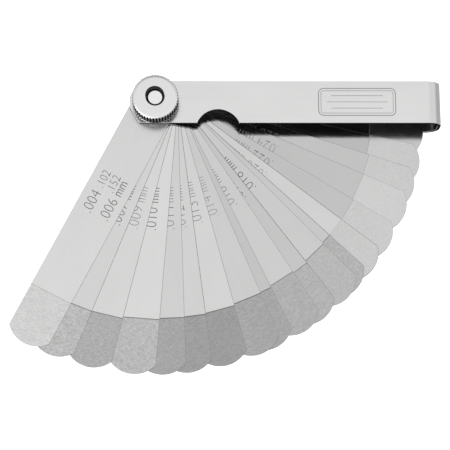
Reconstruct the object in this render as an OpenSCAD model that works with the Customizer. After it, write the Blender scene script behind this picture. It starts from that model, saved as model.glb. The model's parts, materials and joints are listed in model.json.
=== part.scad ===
// Go/no-go feeler gauge: a fan of stepped steel leaves that folds into a bent
// sheet case, held on a pivot screw by a knurled lock nut.
// Millimetres. The gauge lies on its back: +X runs from the pivot to the
// folded end of the case, +Z comes out of the front plate, and the origin is
// on the pivot axis at the underside of the screw head.

/* [Leaves] */
// width of every leaf
leaf_w = 12.7; // [10:0.1:16]
// pivot centre to the end of the tip
leaf_reach = 78.8; // [60:0.1:90]
// pivot centre to the step where the thinner go end starts
step_reach = 62.9; // [50:0.1:75]
// radius of the rounded tip
tip_r = 8.3; // [7:0.1:15]
// how much thinner the go end is ground than the body of its leaf
grind = 0.0508; // [0.02:0.0001:0.1]
// length of the ramp that the grinding wheel leaves at the step
ramp = 0.25; // [0.1:0.05:1]
// body thickness of each leaf in thousandths of an inch, front leaf first
no_go = [6, 7, 9, 10, 11, 12, 13, 14, 15, 16, 17, 18, 19, 20, 22, 24, 26, 28, 30]; // [2:1:40]
// how far each step is off step_reach, because the tips are ground by hand
step_off = [0, 0.1, 0.3, 0, -0.1, 0, 0, -0.2, -0.2, -0.4, 0.3, -0.1, -0.3, -0.1, 0.2, 0.2, 0.4, 0, 0]; // [-1:0.1:1]
// direction that each leaf points in, counterclockwise from +X
fan = [242.6, 248.2, 256.3, 265.6, 271.9, 277.4, 285.1, 292.6, 295.7, 302.8,
       307.2, 313.9, 316.8, 322.2, 328.5, 336.1, 341.8, 347.4, 354.7]; // [180:0.1:360]
// free play at each face of a leaf
leaf_play = 0.015; // [0.005:0.005:0.05]

/* [Case] */
// width of the case strip
case_w = 12.6; // [10:0.1:16]
// thickness of the case sheet
sheet = 1; // [0.6:0.1:1.5]
// pivot centre to the outside of the folded end
case_reach = 83; // [70:0.1:95]
// outside radius of the two bends at the folded end
bend_r = 4; // [2:0.1:5]
// pivot centre to the free ends of the two plates
nose_reach = 7.5; // [6.5:0.1:9]
// half-width of the flat at the free ends
nose_flat = 1.6; // [0:0.1:5]
// length over which each corner of the free ends tapers
nose_taper = 2.7; // [0:0.1:6]
// pivot centre to the middle of the thumb notch
notch_x = 18.1; // [12:0.1:40]
// radius of the thumb notch
notch_r = 6.6; // [4:0.1:10]
// depth of the thumb notch from the edge of the front plate
notch_depth = 4.1; // [2:0.1:6]

/* [Pivot screw] */
// radius of the low round head behind the case
head_r = 5; // [4:0.1:6.3]
// height of the head
head_h = 1.2; // [0.6:0.1:2]
// radius of the plain shank that the leaves turn on
shank_r = 3; // [2:0.1:4]
// distance across the two flats that key the screw into the back plate
key_flats = 5; // [4:0.1:6]
// outside radius of the thread
thread_r = 2.41; // [1.5:0.01:3]
// thread pitch, 32 to the inch
pitch = 0.794; // [0.5:0.001:1.25]
// depth of the end of the thread below the face of the nut
thread_sunk = 0.8; // [0:0.1:3]
// width of the chamfer at the end of the thread
thread_lead = 0.41; // [0.1:0.01:1]

/* [Lock nut] */
// outside radius over the knurl
nut_r = 6.65; // [5:0.05:9]
// height of the nut
nut_h = 5; // [3:0.1:8]
// width of the rounded rim round the face
rim_w = 0.95; // [0.3:0.05:2]
// height of the rounded rim
rim_h = 0.55; // [0.2:0.05:1.5]
// chamfer at the lower rim
nut_chamfer = 0.6; // [0.1:0.05:1]
// number of straight knurl ridges
ridges = 48; // [24:1:90]
// depth of the knurl grooves
ridge_h = 0.3; // [0.1:0.05:0.6]
// share of the knurl pitch taken by the flat top of a ridge
ridge_land = 0.35; // [0.1:0.05:0.8]
// radius of the countersink at the mouth of the thread
sink_r = 2.75; // [2.5:0.05:4]
// direction in which the start of the thread breaks out of the face
start_turn = 104; // [0:1:360]
// how far the thread start reaches past the countersink
start_reach = 0.45; // [0.1:0.05:1]
// depth of the thread start below the face
start_depth = 0.35; // [0.1:0.05:1]

/* [Fits] */
// radial clearance of a leaf on the shank
leaf_fit = 0.05; // [0.01:0.01:0.1]
// radial clearance of the nut on the thread
nut_fit = 0.06; // [0.01:0.01:0.1]
// clearance round the screw where it passes the case
case_fit = 0.04; // [0.01:0.01:0.2]
// gap under the nut
nut_gap = 0.02; // [0.01:0.01:0.1]

/* [Hidden] */
$fn = 96;
thou = 0.0254;
leaves = len(no_go);
two_digits = function (i) i < 10 ? str("0", i) : str(i);
leaf_name = function (i) str("leaf_", two_digits(i));

// thickness of leaf i, and the room taken by leaves i to the last
leaf_t = function (i) no_go[i - 1] * thou;
room = function (i) i > leaves ? leaf_play : leaf_t(i) + leaf_play + room(i + 1);

// levels, from the underside of the screw head up
back_z = head_h;
inside_z = back_z + sheet;
leaf_z = function (i) inside_z + room(i + 1);
plate_z = inside_z + room(1);
front_z = plate_z + sheet;
nut_z = front_z + nut_gap;
face_z = nut_z + nut_h;
thread_z = plate_z - 0.1;
end_z = face_z - thread_sunk;

notch_y = -case_w / 2 - notch_r + notch_depth;

steel = [0.80, 0.80, 0.80];
bright = [0.88, 0.88, 0.88];

// The strip seen from the side: two plates joined by the folded end.
module case_profile() {
  difference() {
    union() {
      translate([-nose_reach, back_z])
        square([nose_reach + case_reach - bend_r, front_z - back_z]);
      translate([case_reach - 2 * bend_r, back_z + bend_r])
        square([2 * bend_r, front_z - back_z - 2 * bend_r]);
      for (z = [back_z + bend_r, front_z - bend_r])
        translate([case_reach - bend_r, z])
          circle(bend_r);
    }
    translate([-nose_reach - 1, inside_z])
      square([nose_reach + 1 + case_reach - bend_r, plate_z - inside_z]);
    translate([case_reach - 2 * bend_r, back_z + bend_r])
      square([2 * bend_r - sheet, front_z - back_z - 2 * bend_r]);
    for (z = [back_z + bend_r, front_z - bend_r])
      translate([case_reach - bend_r, z])
        circle(bend_r - sheet);
  }
}

// The strip seen from the front: straight sides and a tapered nose.
module case_outline() {
  half = case_w / 2;
  polygon([
    [case_reach + 1, -half],
    [case_reach + 1, half],
    [nose_taper - nose_reach, half],
    [-nose_reach, nose_flat],
    [-nose_reach, -nose_flat],
    [nose_taper - nose_reach, -half]
  ]);
}

// Round shank with two flats, a little larger by "extra" when it is a hole.
module key_shape(extra) {
  intersection() {
    circle(shank_r + extra);
    square([2 * shank_r + 1, key_flats + 2 * extra], center = true);
  }
}

module case() {
  color(steel)
    difference() {
      intersection() {
        translate([0, case_w / 2, 0])
          rotate([90, 0, 0])
            linear_extrude(case_w)
              case_profile();
        linear_extrude(front_z + 1)
          case_outline();
      }
      translate([notch_x, notch_y, plate_z - 0.5])
        cylinder(r = notch_r, h = sheet + 1);
      translate([0, 0, plate_z - 0.5])
        cylinder(r = thread_r + 2 * case_fit, h = sheet + 1);
      translate([0, 0, back_z - 0.5])
        linear_extrude(sheet + 1)
          key_shape(case_fit);
    }
}

// Half section of the threaded end, with one V-shaped groove per pitch.
module thread_section() {
  grooves = floor((end_z - thread_z - thread_lead) / pitch);
  depth = 0.54 * pitch;
  difference() {
    polygon([
      [0, thread_z - 0.01],
      [thread_r, thread_z - 0.01],
      [thread_r, end_z - thread_lead],
      [thread_r - thread_lead, end_z],
      [0, end_z]
    ]);
    for (k = [0:grooves - 1])
      translate([0, thread_z + (k + 0.5) * pitch])
        polygon([
          [thread_r - depth, 0],
          [thread_r + 0.1, -0.38 * pitch],
          [thread_r + 0.1, 0.38 * pitch]
        ]);
  }
}

module pivot_screw() {
  color(steel) {
    rotate_extrude()
      polygon([
        [0, 0],
        [head_r - 0.3, 0],
        [head_r, 0.3],
        [head_r, head_h],
        [0, head_h]
      ]);
    linear_extrude(inside_z)
      key_shape(0);
    translate([0, 0, inside_z])
      cylinder(r = shank_r, h = thread_z - inside_z);
    rotate_extrude()
      thread_section();
  }
}

// Straight knurl: a ring of flat-topped ridges with V-shaped grooves between them.
module knurl_outline() {
  corner = function (k, share, r) let (a = 360 * (k + share) / ridges) [r * cos(a), r * sin(a)];
  polygon([
    for (k = [0:ridges - 1])
      each [
        corner(k, -ridge_land / 2, nut_r),
        corner(k, ridge_land / 2, nut_r),
        corner(k, 0.5, nut_r - ridge_h)
      ]
  ]);
}

module lock_nut() {
  bore_r = thread_r + nut_fit;
  sink_h = sink_r - bore_r;
  // both rims run on past the ridges, so that they cut them cleanly
  over = 0.4;
  steep = rim_h / rim_w * tan(75);
  rim = [
    for (a = [0:15:75])
      [nut_r - rim_w * (1 - sin(a)), nut_h - rim_h * (1 - cos(a))]
  ];
  color(bright)
    translate([0, 0, nut_z])
      difference() {
        intersection() {
          linear_extrude(nut_h)
            knurl_outline();
          rotate_extrude()
            polygon(concat(
              [[0, nut_h]],
              rim,
              [
                rim[5] + [over, -over * steep],
                [nut_r + over, nut_chamfer + over],
                [nut_r - nut_chamfer, 0],
                [0, 0]
              ]
            ));
        }
        translate([0, 0, -1])
          cylinder(r = bore_r, h = nut_h + 2);
        rotate_extrude()
          polygon([
            [0, nut_h - sink_h],
            [bore_r, nut_h - sink_h],
            [sink_r + 0.1, nut_h + 0.1],
            [0, nut_h + 0.1]
          ]);
        rotate([0, 0, start_turn])
          translate([start_reach, 0, nut_h - start_depth])
            cylinder(r = sink_r - 0.02, h = start_depth + 1);
      }
}

// Straight sides, a half-round end about the pivot and a wide rounded tip.
module leaf_outline() {
  circle(leaf_w / 2);
  translate([0, -leaf_w / 2])
    square([leaf_reach - tip_r, leaf_w]);
  intersection() {
    translate([leaf_reach - tip_r, 0])
      circle(tip_r);
    translate([leaf_reach - tip_r, -leaf_w / 2])
      square([tip_r + 1, leaf_w]);
  }
}

// What the grinding wheel takes off the go end of leaf i, seen from its edge.
module ground_off(i) {
  step = step_reach + step_off[i - 1];
  t = leaf_t(i);
  polygon([
    [step, t],
    [step + ramp, t - grind],
    [leaf_reach + 1, t - grind],
    [leaf_reach + 1, t + 1],
    [step, t + 1]
  ]);
}

module leaf(i) {
  color(steel)
    translate([0, 0, leaf_z(i)])
      rotate([0, 0, fan[i - 1]])
        difference() {
          linear_extrude(leaf_t(i))
            leaf_outline();
          translate([0, 0, -1])
            cylinder(r = shank_r + leaf_fit, h = leaf_t(i) + 2);
          translate([0, leaf_w, 0])
            rotate([90, 0, 0])
              linear_extrude(2 * leaf_w)
                ground_off(i);
        }
}

case();
pivot_screw();
lock_nut();
for (i = [1:leaves])
  leaf(i);
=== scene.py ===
import json
import math
import bmesh
import bpy
from mathutils import Matrix, Vector


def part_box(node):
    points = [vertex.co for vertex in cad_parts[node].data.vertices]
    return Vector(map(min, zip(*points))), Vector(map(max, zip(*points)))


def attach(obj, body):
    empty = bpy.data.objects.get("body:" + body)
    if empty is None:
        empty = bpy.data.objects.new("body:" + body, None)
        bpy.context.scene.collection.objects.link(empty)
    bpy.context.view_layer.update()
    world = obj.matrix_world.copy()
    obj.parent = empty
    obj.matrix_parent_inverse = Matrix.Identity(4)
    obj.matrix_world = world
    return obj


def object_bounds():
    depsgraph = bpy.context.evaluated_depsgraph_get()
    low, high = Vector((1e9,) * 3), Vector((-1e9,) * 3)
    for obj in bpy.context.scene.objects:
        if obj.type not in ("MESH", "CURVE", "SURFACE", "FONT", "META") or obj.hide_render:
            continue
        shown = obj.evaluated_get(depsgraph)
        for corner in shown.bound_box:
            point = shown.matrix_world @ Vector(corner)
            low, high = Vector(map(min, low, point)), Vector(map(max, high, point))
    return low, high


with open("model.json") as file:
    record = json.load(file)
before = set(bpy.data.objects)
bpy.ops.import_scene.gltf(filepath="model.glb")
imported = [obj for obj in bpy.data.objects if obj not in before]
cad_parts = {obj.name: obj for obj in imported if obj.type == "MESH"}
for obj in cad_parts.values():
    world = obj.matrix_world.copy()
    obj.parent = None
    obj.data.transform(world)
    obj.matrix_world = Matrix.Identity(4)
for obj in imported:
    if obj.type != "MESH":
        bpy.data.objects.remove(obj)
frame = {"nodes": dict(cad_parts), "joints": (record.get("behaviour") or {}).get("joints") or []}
cad_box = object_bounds()

# Looks of a go/no-go feeler gauge, fanned open. Lengths are in metres, in the frame of the
# CAD model: the pivot axis is Z, +X runs from the pivot to the folded end of the case and
# +Z comes out of its front plate.

MM = 0.001
THOU = 0.0254 * MM

# ---- What the frame says -------------------------------------------------------------------

nodes = frame["nodes"]
case_lo, case_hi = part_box("case")
nut_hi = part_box("lock_nut")[1]
screw_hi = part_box("pivot_screw")[1]
front_z = case_hi.z


def read_leaf(joint):
    """Name, direction, levels and no-go thickness (in thou) of the leaf on one joint."""
    name = joint["child"]
    lo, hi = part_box(name)
    return {
        "name": name,
        "number": int(name.split("_")[1]),
        "angle": math.radians(360 - joint["range_deg"][1]),
        "bottom": lo.z,
        "top": hi.z,
        "thou": round((hi.z - lo.z) / THOU),
    }


leaves = [read_leaf(j) for j in frame["joints"] if j["child"].startswith("leaf_")]

# ---- Node materials ------------------------------------------------------------------------


class Shader:
    """A material whose nodes are added one after another."""

    def __init__(self, name):
        self.material = bpy.data.materials.new(name)
        self.material.use_nodes = True
        self.nodes = self.material.node_tree.nodes
        self.links = self.material.node_tree.links
        self.surface = self.nodes["Principled BSDF"]
        self.place = self.nodes.new("ShaderNodeTexCoord").outputs["Object"]

    def stretched(self, angle, lengths):
        """The place in a frame turned by angle, with one unit every lengths metres."""
        mapping = self.nodes.new("ShaderNodeMapping")
        mapping.vector_type = "TEXTURE"
        mapping.inputs["Rotation"].default_value = (0, 0, angle)
        mapping.inputs["Scale"].default_value = lengths
        self.links.new(self.place, mapping.inputs["Vector"])
        return mapping.outputs["Vector"]

    def noise(self, vector, detail=4.0, seed=0.0):
        """Noise from 0 to 1 with one bump to each unit of vector."""
        texture = self.nodes.new("ShaderNodeTexNoise")
        texture.noise_dimensions = "4D"
        texture.inputs["W"].default_value = seed
        texture.inputs["Scale"].default_value = 1.0
        texture.inputs["Detail"].default_value = detail
        self.links.new(vector, texture.inputs["Vector"])
        return texture.outputs["Fac"]

    def spread(self, value, low, high, start=0.25, end=0.75):
        """value from start to end becomes low to high."""
        node = self.nodes.new("ShaderNodeMapRange")
        node.inputs["From Min"].default_value = start
        node.inputs["From Max"].default_value = end
        node.inputs["To Min"].default_value = low
        node.inputs["To Max"].default_value = high
        self.links.new(value, node.inputs["Value"])
        return node.outputs["Result"]

    def combine(self, kind, a, b):
        """The sum (ADD) or product (MULTIPLY) of two values."""
        node = self.nodes.new("ShaderNodeMath")
        node.operation = kind
        self.links.new(a, node.inputs[0])
        self.links.new(b, node.inputs[1])
        return node.outputs["Value"]

    def radius(self):
        """Distance from the pivot axis."""
        parts = self.nodes.new("ShaderNodeSeparateXYZ")
        self.links.new(self.place, parts.inputs["Vector"])
        squares = [self.combine("MULTIPLY", parts.outputs[k], parts.outputs[k]) for k in ("X", "Y")]
        root = self.nodes.new("ShaderNodeMath")
        root.operation = "SQRT"
        self.links.new(self.combine("ADD", *squares), root.inputs[0])
        return root.outputs["Value"]

    def grey(self, value, tint=(1.0, 1.0, 1.0)):
        """A colour as bright as value, with a slight tint."""
        node = self.nodes.new("ShaderNodeCombineColor")
        for channel, share in zip(("Red", "Green", "Blue"), tint):
            scaled = self.nodes.new("ShaderNodeMath")
            scaled.operation = "MULTIPLY"
            scaled.inputs[1].default_value = share
            self.links.new(value, scaled.inputs[0])
            self.links.new(scaled.outputs["Value"], node.inputs[channel])
        return node.outputs["Color"]

    def glance(self, share):
        """Dims what a metal mirrors at a low angle."""
        self.surface.inputs["Specular Tint"].default_value = (share, share, share, 1.0)

    def bump(self, height, depth):
        """Raises the surface by height times depth."""
        node = self.nodes.new("ShaderNodeBump")
        node.inputs["Strength"].default_value = 1.0
        node.inputs["Distance"].default_value = depth
        self.links.new(height, node.inputs["Height"])
        self.links.new(node.outputs["Normal"], self.surface.inputs["Normal"])

    def set(self, **values):
        """Sets sockets of the surface, named with _ for a space, and returns the material."""
        for key, value in values.items():
            socket = self.surface.inputs[key.replace("_", " ")]
            if isinstance(value, bpy.types.NodeSocket):
                self.links.new(value, socket)
            else:
                socket.default_value = value
        return self.material


STEEL_TINT = (1.0, 1.0, 0.995)

# From the pivot to the step of a leaf, and how bright its edge is beyond it.
STEP_REACH = 62.9 * MM
EDGE_TIP_TONE = 0.4


def ground_steel(name, tone, angle, grain, roughness, contrast, depth, seed, glance=1.0):
    """Bare steel with a grain along angle: grain is the length and the width of a scratch."""
    s = Shader(name)
    s.glance(glance)
    fine = s.noise(s.stretched(angle, (grain[0], grain[1], grain[1])), 3.0, seed)
    long, wide = grain[0] * 1.6, grain[1] * 6
    coarse = s.noise(s.stretched(angle, (long, wide, wide)), 2.0, seed + 7)
    cloud = s.noise(s.stretched(angle, (14 * MM, 9 * MM, 9 * MM)), 2.0, seed + 3)
    mixed = s.combine("MULTIPLY", s.spread(fine, 1 - contrast, 1 + contrast),
                      s.spread(coarse, 1 - contrast / 4, 1 + contrast / 4))
    mixed = s.combine("MULTIPLY", mixed, s.spread(cloud, tone * 0.98, tone * 1.02))
    s.bump(fine, depth)
    return s.set(
        Base_Color=s.grey(mixed, STEEL_TINT),
        Metallic=1.0,
        Roughness=s.spread(coarse, roughness - 0.03, roughness + 0.03),
    )


def turned_steel(name, tone, roughness, ring=0.12 * MM):
    """Bright turned steel with faint rings about the pivot axis."""
    s = Shader(name)
    across = s.nodes.new("ShaderNodeCombineXYZ")
    s.links.new(s.radius(), across.inputs["X"])
    scaled = s.nodes.new("ShaderNodeMapping")
    scaled.inputs["Scale"].default_value = (1 / ring, 1, 1)
    s.links.new(across.outputs["Vector"], scaled.inputs["Vector"])
    rings = s.noise(scaled.outputs["Vector"], 3.0)
    specks = s.noise(s.stretched(0, (0.5 * MM,) * 3), 3.0)
    shade = s.combine("MULTIPLY", s.spread(rings, 0.97, 1.03),
                      s.spread(specks, tone * 0.97, tone * 1.03))
    s.bump(rings, 0.002 * MM)
    return s.set(
        Base_Color=s.grey(shade, STEEL_TINT),
        Metallic=1.0,
        Roughness=s.spread(specks, roughness - 0.03, roughness + 0.03),
    )


def knurled_steel(groove_r, ridge_r):
    """Plated knurl painted dark as shade: darkest down in the grooves, lighter and more metallic
    towards the tops of the ridges.
    """
    s = Shader("nut_knurl")
    radius = s.radius()
    specks = s.noise(s.stretched(0, (0.25 * MM,) * 3), 3.0)
    depth = ridge_r - groove_r
    # Painted shade: the knurl is darkest below the first radius and lightest above the second.
    groove_shade_end, ridge_lit_start = groove_r + 0.75 * depth, groove_r + 0.92 * depth
    tone = s.spread(radius, 0.01, 0.25, groove_shade_end, ridge_lit_start)
    s.surface.inputs["Specular IOR Level"].default_value = 0.0
    s.glance(0.2)
    return s.set(
        Base_Color=s.grey(s.combine("MULTIPLY", tone, s.spread(specks, 0.8, 1.2)), STEEL_TINT),
        Metallic=s.spread(radius, 0.0, 0.8, groove_shade_end, ridge_lit_start),
        Roughness=s.spread(specks, 0.36, 0.48),
    )


def edge_steel(name, tone, glance, seed):
    """Sheared edge of a leaf: dark along the body, partly as dull sheared steel and partly as
    painted shade between stacked leaves, and lighter round the ground tip.
    """
    s = Shader(name)
    s.glance(glance)
    fine = s.noise(s.stretched(0, (0.4 * MM, 0.1 * MM, 0.1 * MM)), 3.0, seed)
    level = s.spread(s.radius(), tone, EDGE_TIP_TONE, STEP_REACH - 0.5 * MM, STEP_REACH + 0.5 * MM)
    s.bump(fine, 0.001 * MM)
    return s.set(
        Base_Color=s.grey(s.combine("MULTIPLY", level, s.spread(fine, 0.92, 1.08)), STEEL_TINT),
        Metallic=1.0,
        Roughness=s.spread(fine, 0.27, 0.33),
    )


def shade_dark_steel(name, tone):
    """Steel painted near black as the shade deep in a hole, slightly warm in tint."""
    s = Shader(name)
    specks = s.noise(s.stretched(0, (0.2 * MM,) * 3), 4.0)
    s.bump(specks, 0.002 * MM)
    s.surface.inputs["Specular IOR Level"].default_value = 0.2
    return s.set(
        Base_Color=s.grey(s.spread(specks, tone * 0.6, tone * 1.4), (1.0, 0.98, 0.95)),
        Metallic=0.25,
        Roughness=s.spread(specks, 0.35, 0.5),
    )


def etched_mark(name, tone):
    """Dull grey of an acid-etched line."""
    s = Shader(name)
    specks = s.noise(s.stretched(0, (0.15 * MM,) * 3), 4.0)
    return s.set(
        Base_Color=s.grey(s.spread(specks, tone * 0.75, tone * 1.25)),
        Metallic=0.3,
        Roughness=s.spread(specks, 0.5, 0.7),
    )


# ---- Dressing the CAD nodes ----------------------------------------------------------------


# Corners closer than this are one, faces this nearly level are one, and edges sharper than
# this are broken.
SAME_POINT = 0.0005 * MM
SAME_LEVEL = math.radians(0.5)
SHARP = math.radians(35)


def soften(node, width, edge_slot, segments=2):
    """Breaks the sharp edges of node to that width; the broken edges get edge_slot."""
    weld = node.modifiers.new("weld", "WELD")
    weld.merge_threshold = SAME_POINT
    flat = node.modifiers.new("flat", "DECIMATE")
    flat.decimate_type = "DISSOLVE"
    flat.angle_limit = SAME_LEVEL
    flat.delimit = {"MATERIAL"}
    bevel = node.modifiers.new("edges", "BEVEL")
    bevel.limit_method = "ANGLE"
    bevel.angle_limit = SHARP
    bevel.width = width
    bevel.segments = segments
    bevel.material = edge_slot
    bevel.use_clamp_overlap = True
    node.modifiers.new("normals", "WEIGHTED_NORMAL").keep_sharp = True


def dress(node, materials, choose):
    """Gives node the materials; choose picks one by its place in the list for each face."""
    mesh = node.data
    mesh.materials.clear()
    for material in materials:
        mesh.materials.append(material)
    for face in mesh.polygons:
        face.material_index = choose(face)


# How much thinner the go end of a leaf is ground.
GRIND = 2 * THOU

# How bright the body and the ground tip of each leaf are, front leaf first. These two lists are
# data and not a design: they were fitted to the grey levels of the photograph, and only the
# first body tone was changed.
# The fall of the body tones from the front leaf to the back is painted light: the leaves further
# back, each turned its own way, are painted as catching less light.
BODY_TONES = [0.71, 0.65, 0.67, 0.69, 0.63, 0.64, 0.66, 0.61, 0.55, 0.61,
              0.56, 0.60, 0.58, 0.64, 0.54, 0.54, 0.55, 0.50, 0.50]
TIP_TONES = [0.64, 0.50, 0.43, 0.49, 0.39, 0.35, 0.34, 0.39, 0.39, 0.44,
             0.46, 0.49, 0.46, 0.60, 0.60, 0.63, 0.60, 0.61, 0.60]

# How bright the ramp at the step is, and how strong the grain of the ground tip. They were
# set from a table of grey levels for each leaf that another such script printed.
# The ramps are painted dark as the shade at the step.
RAMP_SHADE_TONES = [0.46, 0.23, 0.22, 0.19, 0.14, 0.13, 0.16, 0.14, 0.19, 0.26,
              0.26, 0.26, 0.27, 0.56, 0.50, 0.50, 0.50, 0.50, 0.50]
TIP_GRAIN = [0.20, 0.36, 0.34, 0.40, 0.28] + [0.24] * 8 + [0.10] * 6

# The broken edges are no wider than this. On some leaves they are wider and painted darker, as
# deeper shade between the stacked leaves.
EDGE_MOST = 0.08 * MM
SHADE_EDGES = (2, 6, 7, 11, 13, 14, 16)
SHADE_EDGE_MOST = 0.14 * MM

# No edge is broken over more than this share of the go end's thickness.
EDGE_SHARE = 0.42

# How rough the bodies of the leaves are. The front leaf is duller than the others.
FRONT_ROUGHNESS = 0.28
LEAF_ROUGHNESS = 0.12

# The edges are dark partly for the sheared steel and partly as painted shade between stacked leaves;
# the second, darker one is painted shade only.
sheared_edge = edge_steel("sheared_edge", 0.22, 0.6, 90)
dark_edge = edge_steel("dark_edge", 0.10, 0.3, 91)


def dress_leaf(leaf):
    """Ground body and tip, a ramp at the step between them painted dark as shade, and sheared edges.
    """
    number = leaf["number"]
    along = leaf["angle"]
    across = along + math.pi / 2
    rough = FRONT_ROUGHNESS if number == 1 else LEAF_ROUGHNESS
    edge, most = (dark_edge, SHADE_EDGE_MOST) if number in SHADE_EDGES else (sheared_edge, EDGE_MOST)
    materials = [
        ground_steel(f"body_{number:02d}", BODY_TONES[number - 1], along,
                     (18 * MM, 0.16 * MM), rough, 0.02, 0.0002 * MM, number),
        ground_steel(f"tip_{number:02d}", TIP_TONES[number - 1], across,
                     (0.9 * MM, 0.13 * MM), 0.18, TIP_GRAIN[number - 1], 0.0006 * MM, number + 40),
        edge,
        ground_steel(f"ramp_{number:02d}", RAMP_SHADE_TONES[number - 1], along,
                     (0.3 * MM, 0.1 * MM), 0.3, 0.12, 0.001 * MM, number + 70),
    ]
    body_slot, tip_slot, edge_slot, ramp_slot = range(4)
    middle = (leaf["top"] + leaf["bottom"]) / 2
    below_top = leaf["top"] - 0.01 * MM

    def choose(face):
        if abs(face.normal.z) < 0.5:
            return edge_slot
        if abs(face.normal.z) < 0.995:
            return ramp_slot
        return tip_slot if middle < face.center.z < below_top else body_slot

    node = nodes[leaf["name"]]
    dress(node, materials, choose)
    go_end = leaf["top"] - leaf["bottom"] - GRIND
    soften(node, min(most, EDGE_SHARE * go_end), edge_slot)


# The nut: the width of its rounded rim, the depth of the knurl and the radius of its mouth.
NUT_RIM = 0.95 * MM
KNURL_DEPTH = 0.3 * MM
NUT_MOUTH = 3.3 * MM

# The bore of the nut and the hidden part of the screw are painted near black as shade.
bore_shade = shade_dark_steel("oiled_bore", 0.03)


def dress_nut():
    """Turned face and rims, a knurled side painted dark as shade, and a bore painted dark as shade.
    """
    outer = nut_hi.x
    face_slot, knurl_slot, bore_slot = range(3)

    def choose(face):
        radius = face.center.to_2d().length
        level = face.normal.z >= 0.99 and face.center.z >= nut_hi.z - 0.1 * MM
        if radius < NUT_MOUTH and not level:
            return bore_slot
        side = abs(face.normal.z) < 0.3 and radius > outer - NUT_RIM
        return knurl_slot if side else face_slot

    knurl = knurled_steel(outer - KNURL_DEPTH, outer)
    dress(nodes["lock_nut"], [turned_steel("nut_face", 0.775, 0.16), knurl, bore_shade], choose)
    soften(nodes["lock_nut"], 0.03 * MM, face_slot)


# The folded end of the case bends over this length.
BEND_LENGTH = 4.2 * MM


def dress_case():
    """Satin sheet outside, inside painted dark as shade, and dark sheared walls."""
    materials = [
        ground_steel("case_face", 0.75, 0, (30 * MM, 0.25 * MM), 0.2, 0.015, 0.0004 * MM, 20),
        ground_steel("case_edge", 0.76, 0, (2 * MM, 0.15 * MM), 0.24, 0.04, 0.001 * MM, 24),
        # The inside of the case is painted dark as the shade under the front plate and in the fold.
        ground_steel("case_inside", 0.15, 0, (20 * MM, 0.4 * MM), 0.3, 0.05, 0.0005 * MM, 28),
        ground_steel("case_sheared", 0.14, 0, (0.5 * MM, 0.1 * MM), 0.35, 0.10, 0.001 * MM, 32, 0.1),
    ]
    face_slot, edge_slot, inside_slot, wall_slot = range(4)
    bend = case_hi.x - BEND_LENGTH
    middle = (case_lo.z + case_hi.z) / 2

    def choose(face):
        normal, center = face.normal, face.center
        if abs(normal.y) > 0.5 or abs(normal.z) < 0.3 and center.x < bend:
            return wall_slot
        outward = Vector((max(0.0, center.x - bend), 0, center.z - middle))
        return inside_slot if normal.dot(outward) < 0 else face_slot

    dress(nodes["case"], materials, choose)
    soften(nodes["case"], 0.09 * MM, edge_slot, 3)


def dress_screw():
    """Bright head and thread end; the rest is painted dark as shade."""
    head = case_lo.z + MM
    bright_slot, shade_slot = range(2)

    def choose(face):
        end = abs(face.normal.z) > 0.9 and face.center.z > screw_hi.z - 0.1 * MM
        return bright_slot if end or face.center.z < head else shade_slot

    dress(nodes["pivot_screw"], [turned_steel("screw_end", 0.86, 0.2), bore_shade], choose)
    soften(nodes["pivot_screw"], 0.05 * MM, bright_slot)


# ---- Etched marks --------------------------------------------------------------------------

# A mark is a thin solid, this far proud of the steel and this far sunk in it.
MARK_PROUD = 0.004 * MM
MARK_SUNK = 0.02 * MM


def link(name, data):
    made = bpy.data.objects.new(name, data)
    bpy.context.scene.collection.objects.link(made)
    return made


def text_mesh(body, thin):
    """Flat outline of a word in the built-in face, thinned by that share of its size."""
    curve = bpy.data.curves.new("word", "FONT")
    curve.body = body
    curve.offset = -thin
    curve.resolution_u = 3
    curve.extrude = 0.5
    word = link("word", curve)
    bpy.context.view_layer.update()
    depsgraph = bpy.context.evaluated_depsgraph_get()
    mesh = bpy.data.meshes.new_from_object(word.evaluated_get(depsgraph))
    bpy.data.objects.remove(word)
    return mesh


def add_word(build, body, left, middle, length, height, thin):
    """Adds a word to build, in a frame where it reads along +X, filling length by height."""
    mesh = text_mesh(body, thin)
    xs = [v.co.x for v in mesh.vertices]
    ys = [v.co.y for v in mesh.vertices]
    wide = max(xs) - min(xs)
    tall = max(ys) - min(ys)
    fit = (
        Matrix.Translation((left, middle - height / 2, 0))
        @ Matrix.Diagonal((length / wide, height / tall, 1, 1))
        @ Matrix.Translation((-min(xs), -min(ys), 0))
    )
    mesh.transform(fit)
    build.from_mesh(mesh)
    bpy.data.meshes.remove(mesh)


def decimals(value):
    """Three decimals with no leading zero."""
    return f"{value:.3f}".lstrip("0")


# Where the words stand on a leaf: from the pivot to where a word starts, its middle across
# the leaf, its length and its height. They read towards the pivot.
INCH_ROWS = [(37.5, 2.65), (37.5, -2.75)]
INCH_SIZE = (6.5, 3.0)
METRIC_ROWS = [(29.45, 2.75), (29.45, -0.5)]
METRIC_SIZE = (5.05, 2.45)
UNIT_PLACE = (29.5, -3.36)
UNIT_SIZE = (4.4, 1.82)

# The stamp sat a little off across some leaves (in mm), printed heavily on a few and lightly
# on others.
OFF = {3: 0.2, 4: 1.1, 7: 0.2, 10: 0.5}
HEAVY = (1, 2, 4, 12)
LIGHT = (8, 14, 16)

# How much the numerals and the unit are thinned, as a share of their size.
THIN = (0.027, 0.02)
HEAVY_THIN = (0.02, 0.008)

leaf_marks = etched_mark("leaf_marks", 0.16)
heavy_marks = etched_mark("heavy_marks", 0.13)
light_marks = etched_mark("light_marks", 0.27)


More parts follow.
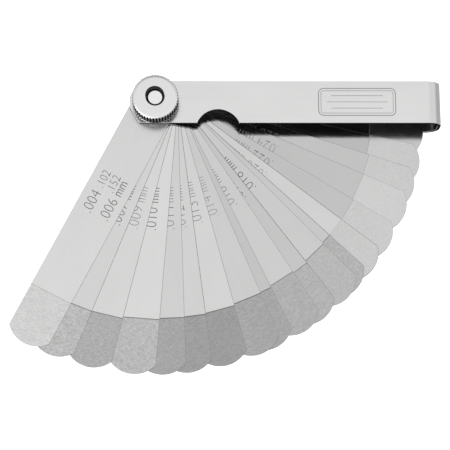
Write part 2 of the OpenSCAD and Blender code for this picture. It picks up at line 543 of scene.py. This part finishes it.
def mark_leaf(leaf):
    """Etches the go and no-go thickness on a leaf, in inches and in millimetres."""
    number = leaf["number"]
    off = OFF.get(number, 0.0)
    numeral_thin, unit_thin = HEAVY_THIN if number in HEAVY else THIN
    words = [("mm", UNIT_PLACE, UNIT_SIZE, unit_thin)]
    for thou, inch, metric in zip((leaf["thou"] - 2, leaf["thou"]), INCH_ROWS, METRIC_ROWS):
        words.append((decimals(thou / 1000), inch, INCH_SIZE, numeral_thin))
        words.append((decimals(thou * THOU / MM), metric, METRIC_SIZE, numeral_thin))
    build = bmesh.new()
    for word, (along, across), (length, height), thin in words:
        add_word(build, word, -along * MM, (across + off) * MM, length * MM, height * MM, thin)
    mesh = bpy.data.meshes.new("marks")
    build.to_mesh(mesh)
    build.free()
    middle = leaf["top"] + (MARK_PROUD - MARK_SUNK) / 2
    mesh.transform(
        Matrix.Translation((0, 0, middle))
        @ Matrix.Rotation(leaf["angle"] + math.pi, 4, "Z")
        @ Matrix.Diagonal((1, 1, MARK_PROUD + MARK_SUNK, 1))
    )
    mesh.materials.append(
        heavy_marks if number in HEAVY else light_marks if number in LIGHT else leaf_marks)
    piece = link(f"marks_{number:02d}", mesh)
    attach(piece, leaf["name"])


# A plain panel stands on the front plate: a double outline and three rules inside it. In mm:
# its middle from the pivot, its size, its corner radius, how far the inner outline is inset,
# the width of a line, and each rule's place across the plate with its length.
PANEL_MIDDLE = 58.3
PANEL_SIZE = (22.6, 8.4)
PANEL_CORNER = 1.6
PANEL_INSET = 0.75
LINE = 0.16
RULES = [(1.9, 15.0), (0.0, 17.6), (-1.9, 15.0)]


def rounded_loop(length, height, corner, steps=6):
    """Points round a rectangle with rounded corners, counterclockwise."""
    points = []
    for k, (sx, sy) in enumerate([(1, 1), (-1, 1), (-1, -1), (1, -1)]):
        middle = (sx * (length / 2 - corner), sy * (height / 2 - corner))
        for step in range(steps + 1):
            turn = math.pi / 2 * (k + step / steps)
            points.append((middle[0] + corner * math.cos(turn), middle[1] + corner * math.sin(turn)))
    return points


def add_band(build, outer, inner, low, high):
    """A closed band between two loops of the same number of points, from low to high."""
    rings = [[build.verts.new((x, y, z)) for x, y in loop]
             for loop, z in ((outer, high), (inner, high), (inner, low), (outer, low))]
    count = len(outer)
    for a in range(4):
        for k in range(count):
            n = (k + 1) % count
            build.faces.new((rings[a][k], rings[a][n], rings[(a + 1) % 4][n], rings[(a + 1) % 4][k]))


def add_rule(build, length, height, across, low, high):
    """A thin closed bar."""
    x, y = length / 2, height / 2
    corners = [(x, y), (-x, y), (-x, -y), (x, -y)]
    top = [build.verts.new((x, y + across, high)) for x, y in corners]
    bottom = [build.verts.new((x, y + across, low)) for x, y in corners]
    build.faces.new(top)
    build.faces.new(reversed(bottom))
    for k in range(4):
        n = (k + 1) % 4
        build.faces.new((top[k], bottom[k], bottom[n], top[n]))


def mark_case():
    """Etches the plain panel on the front plate."""
    build = bmesh.new()
    low, high = front_z - MARK_SUNK, front_z + MARK_PROUD
    length, height = PANEL_SIZE
    for inset, line in ((0.0, 1.6 * LINE), (PANEL_INSET, LINE)):
        loops = [
            [(x * MM, y * MM) for x, y in
             rounded_loop(length - 2 * off, height - 2 * off, PANEL_CORNER - off)]
            for off in (inset, inset + line)
        ]
        add_band(build, loops[0], loops[1], low, high)
    for across, rule in RULES:
        add_rule(build, rule * MM, LINE * MM, across * MM, low, high)
    bmesh.ops.recalc_face_normals(build, faces=build.faces)
    bmesh.ops.translate(build, verts=build.verts, vec=(PANEL_MIDDLE * MM, 0, 0))
    mesh = bpy.data.meshes.new("panel")
    build.to_mesh(mesh)
    build.free()
    mesh.materials.append(etched_mark("panel_mark", 0.30))
    piece = link("case_panel", mesh)
    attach(piece, "case")


# ---- Stage, light and camera ---------------------------------------------------------------


FLOOR_HALF = 3.0


def white_floor():
    """A plain white sweep. The steel mirrors the tent around it, not the floor."""
    half = FLOOR_HALF
    mesh = bpy.data.meshes.new("floor")
    corners = [(-half, -half, 0), (half, -half, 0), (half, half, 0), (-half, half, 0)]
    mesh.from_pydata(corners, [], [(0, 1, 2, 3)])
    s = Shader("floor_white")
    cloud = s.noise(s.stretched(0, (0.4, 0.4, 0.4)), 1.0)
    s.set(Base_Color=s.grey(s.spread(cloud, 0.78, 0.82)), Roughness=0.9)
    s.surface.inputs["Specular IOR Level"].default_value = 0.1
    s.surface.inputs["Emission Color"].default_value = (1, 1, 1, 1)
    s.surface.inputs["Emission Strength"].default_value = 0.8
    mesh.materials.append(s.material)
    floor = link("floor", mesh)
    floor.location.z = cad_box[0].z - 0.02 * MM
    floor.visible_glossy = False


# Brightness of the tent well above the horizon and below it, by direction in degrees from +X.
# It is brightest to the left of the camera, and darkest low down in front.
TENT = [
    (-180, 0.95, 0.80),
    (-152, 1.10, 0.90),
    (-133, 1.20, 1.00),
    (-114, 0.90, 0.30),
    (-102, 0.68, 0.02),
    (-50, 0.62, 0.04),
    (-22, 0.75, 0.35),
    (0, 0.95, 0.48),
    (45, 0.75, 0.50),
    (90, 0.50, 0.42),
    (150, 0.82, 0.60),
    (180, 0.95, 0.80),
]

# The top of the tent is even. Its middle leans towards the camera.
OVERHEAD = 1.0
LEAN = (0.0, -0.17, 0.985)

# The floor a little way off is lit; right under the gauge it is in shadow.
FAR_FLOOR = 0.55

# A large soft box stands to the left of the camera.
BOX_TOWARD = Vector((-0.60, -0.62, 0.50)).normalized()
BOX_INNER = 0.92
BOX_OUTER = 0.76
BOX_POWER = 1.8


def studio_light():
    """A white tent, evenly bright overhead and uneven round the sides."""
    world = bpy.data.worlds.new("tent")
    bpy.context.scene.world = world
    world.use_nodes = True
    tree = world.node_tree
    new = tree.nodes.new
    place = new("ShaderNodeTexCoord").outputs["Generated"]
    parts = new("ShaderNodeSeparateXYZ")
    tree.links.new(place, parts.inputs["Vector"])

    def ranged(value, start, end, kind="SMOOTHSTEP"):
        node = new("ShaderNodeMapRange")
        node.interpolation_type = kind
        node.inputs["From Min"].default_value = start
        node.inputs["From Max"].default_value = end
        tree.links.new(value, node.inputs["Value"])
        return node.outputs["Result"]

    def mixed(factor, low, high):
        node = new("ShaderNodeMix")
        tree.links.new(factor, node.inputs["Factor"])
        for name, value in (("A", low), ("B", high)):
            if isinstance(value, float):
                node.inputs[name].default_value = value
            else:
                tree.links.new(value, node.inputs[name])
        return node.outputs["Result"]

    def towards(direction):
        node = new("ShaderNodeVectorMath")
        node.operation = "DOT_PRODUCT"
        node.inputs[1].default_value = direction
        tree.links.new(place, node.inputs[0])
        return node.outputs["Value"]

    turn = new("ShaderNodeMath")
    turn.operation = "ARCTAN2"
    tree.links.new(parts.outputs["Y"], turn.inputs[0])
    tree.links.new(parts.outputs["X"], turn.inputs[1])
    share = ranged(turn.outputs["Value"], -math.pi, math.pi, "LINEAR")

    def around(level):
        ramp = new("ShaderNodeValToRGB")
        ramp.color_ramp.interpolation = "EASE"
        stops = ramp.color_ramp.elements
        for stop in TENT[1:-1]:
            stops.new((stop[0] + 180) / 360)
        for stop, element in zip(TENT, stops):
            element.color = (stop[level],) * 3 + (1.0,)
        tree.links.new(share, ramp.inputs["Fac"])
        grey = new("ShaderNodeSeparateColor")
        tree.links.new(ramp.outputs["Color"], grey.inputs["Color"])
        return grey.outputs["Red"]

    height = parts.outputs["Z"]
    below = around(2)
    above_floor = mixed(ranged(height, -0.3, -0.15), FAR_FLOOR, below)
    lower = mixed(ranged(height, -0.8, -0.65), below, above_floor)
    sides = mixed(ranged(height, 0.0, 0.4, "LINEAR"), lower, around(1))
    upper = mixed(ranged(towards(LEAN), 0.70, 0.92), sides, OVERHEAD)
    whole = mixed(ranged(towards(BOX_TOWARD), BOX_OUTER, BOX_INNER), upper, BOX_POWER)
    background = tree.nodes["Background"]
    background.inputs["Color"].default_value = (1, 1, 1, 1)
    tree.links.new(whole, background.inputs["Strength"])


# The camera stands 0.4 m off, a little to the left and almost overhead.
AIM = Vector((19.9 * MM, -36.5 * MM, front_z))
DISTANCE = 406.5 * MM
AZIMUTH = math.radians(-4.15)
ELEVATION = math.radians(77.37)
ROLL = math.radians(-0.24)
FIELD = math.radians(17.84)


def make_camera():
    data = bpy.data.cameras.new("camera")
    data.sensor_width = 36.0
    data.lens = data.sensor_width / 2 / math.tan(FIELD / 2)
    data.clip_start = 0.01
    data.clip_end = 20.0
    camera = link("camera", data)
    back = Vector((
        math.sin(AZIMUTH) * math.cos(ELEVATION),
        -math.cos(AZIMUTH) * math.cos(ELEVATION),
        math.sin(ELEVATION),
    ))
    right = Matrix.Rotation(ROLL, 3, back) @ Vector((0, 1, 0)).cross(back).normalized()
    up = back.cross(right)
    turn = Matrix((right, up, back)).transposed().to_4x4()
    camera.matrix_world = Matrix.Translation(AIM + back * DISTANCE) @ turn
    bpy.context.scene.camera = camera


# ---- The whole scene -----------------------------------------------------------------------

make_camera()
white_floor()
studio_light()
dress_case()
dress_screw()
dress_nut()
for each in leaves:
    dress_leaf(each)
    mark_leaf(each)
mark_case()
bpy.context.scene.view_settings.view_transform = "Standard"
